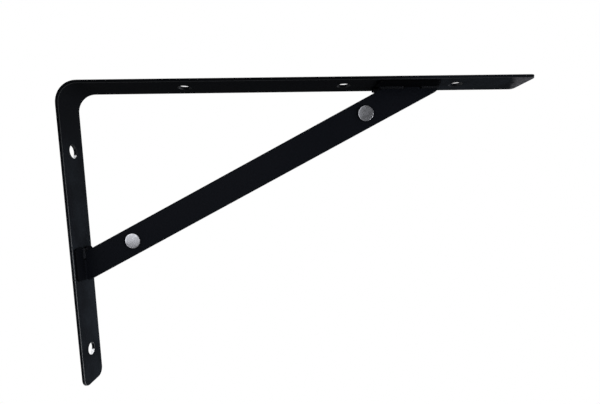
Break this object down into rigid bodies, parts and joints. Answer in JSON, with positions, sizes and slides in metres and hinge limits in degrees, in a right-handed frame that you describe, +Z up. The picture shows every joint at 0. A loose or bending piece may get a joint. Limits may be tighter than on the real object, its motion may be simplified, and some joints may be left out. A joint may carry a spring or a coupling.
{
  "type": "shelf bracket",
  "caption": "Black steel shelf bracket: a strip folded into a right angle, tied by a riveted diagonal brace of paired plates with welded feet.",
  "frame": {"origin": "on the wall face, in the middle of the strip, half way between the two wall screws", "axes": "+X out from the wall along the shelf arm, +Y across the strip, +Z up"},
  "size_m": [0.3, 0.025, 0.2],
  "materials": {
    "black_paint": "semi-gloss black coating on steel",
    "rivet_metal": "plain satin rivet metal"
  },
  "bodies": {
    "root": {"angle_strip": "black_paint", "brace_plate_left": "black_paint", "brace_plate_right": "black_paint", "lower_rivet": "rivet_metal", "upper_rivet": "rivet_metal"}
  },
  "joints": []
}
